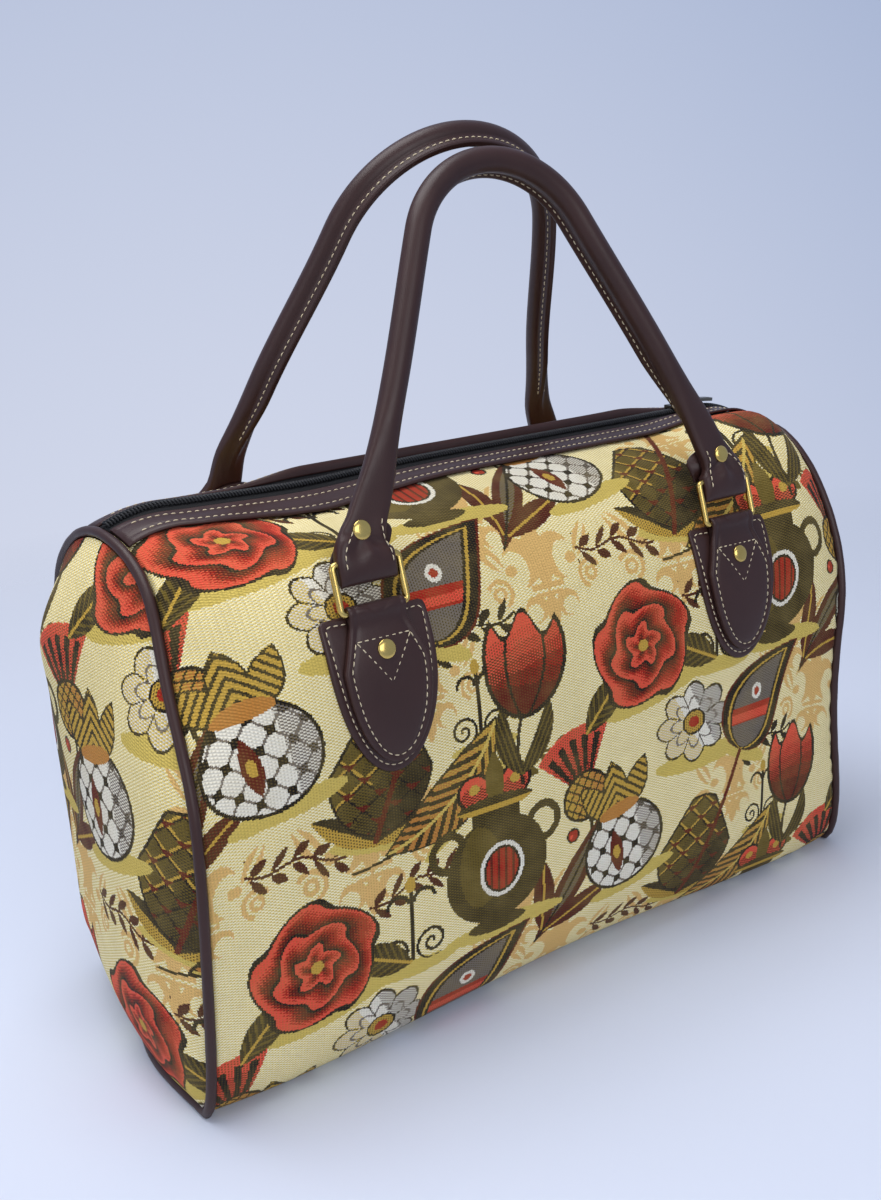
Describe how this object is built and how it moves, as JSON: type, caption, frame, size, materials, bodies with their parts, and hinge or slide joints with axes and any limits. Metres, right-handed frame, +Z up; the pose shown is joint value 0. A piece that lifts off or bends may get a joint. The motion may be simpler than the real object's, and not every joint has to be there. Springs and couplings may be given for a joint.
{
  "type": "carpet bag",
  "caption": "Soft woven holdall with piped arched ends, a zip between leather bands along the top, and rolled handles on wire rings held by riveted tabs.",
  "frame": {"origin": "middle of the bottom, on the floor", "axes": "+X along the bag towards the end where the closed zip slider sits, +Y from the front to the back, +Z up"},
  "size_m": [0.4954, 0.2152, 0.4707],
  "materials": {
    "tapestry": "woven jacquard, figured in olive, gold, red, pink and black on cream",
    "lining": "plain weave",
    "trim": "smooth, satin",
    "brass": "aged, polished",
    "zip_tape": "fine twill",
    "zip_coil": "satin nylon",
    "zip_metal": "dark nickel",
    "board": "plain board"
  },
  "bodies": {
    "bag": {"body_cloth": "tapestry", "left_end_panel": "tapestry", "right_end_panel": "tapestry", "left_piping": "trim", "right_piping": "trim", "body_lining": "lining", "left_end_lining": "lining", "right_end_lining": "lining", "base_board": "board", "front_zip_band": "trim", "back_zip_band": "trim", "front_zip_tape": "zip_tape", "back_zip_tape": "zip_tape", "front_zip_coil": "zip_coil", "back_zip_coil": "zip_coil", "front_left_patch": "trim", "front_right_patch": "trim", "back_left_patch": "trim", "back_right_patch": "trim", "front_left_tab": "trim", "front_right_tab": "trim", "back_left_tab": "trim", "back_right_tab": "trim", "front_tab_rivets": "brass", "back_tab_rivets": "brass"},
    "front_rings": {"front_left_ring": "brass", "front_right_ring": "brass"},
    "back_rings": {"back_left_ring": "brass", "back_right_ring": "brass"},
    "front_handle": {"front_handle": "trim", "front_handle_rivets": "brass"},
    "back_handle": {"back_handle": "trim", "back_handle_rivets": "brass"},
    "zip_slider": {"zip_slider": "zip_metal"},
    "zip_pull": {"zip_pull": "zip_metal"}
  },
  "joints": [
    {"name": "front_ring_swing", "type": "hinge", "parent": "bag", "child": "front_rings", "pos_m": [0, -0.09216, 0.24564], "axis": [1, 0, 0], "range_deg": [0, 100]},
    {"name": "front_handle_swing", "type": "hinge", "parent": "front_rings", "child": "front_handle", "pos_m": [0, -0.08575, 0.26876], "axis": [1, 0, 0], "range_deg": [0, 75]},
    {"name": "back_ring_swing", "type": "hinge", "parent": "bag", "child": "back_rings", "pos_m": [0, 0.09216, 0.24564], "axis": [-1, 0, 0], "range_deg": [0, 100]},
    {"name": "back_handle_swing", "type": "hinge", "parent": "back_rings", "child": "back_handle", "pos_m": [0, 0.08164, 0.26721], "axis": [-1, 0, 0], "range_deg": [0, 75]},
    {"name": "zip_slide", "type": "slide", "parent": "bag", "child": "zip_slider", "axis": [1, 0, 0], "range_m": [-0.336, 0]},
    {"name": "pull_flip", "type": "hinge", "parent": "zip_slider", "child": "zip_pull", "pos_m": [0.17302, 0, 0.29968], "axis": [0, -1, 0], "range_deg": [0, 180]}
  ]
}
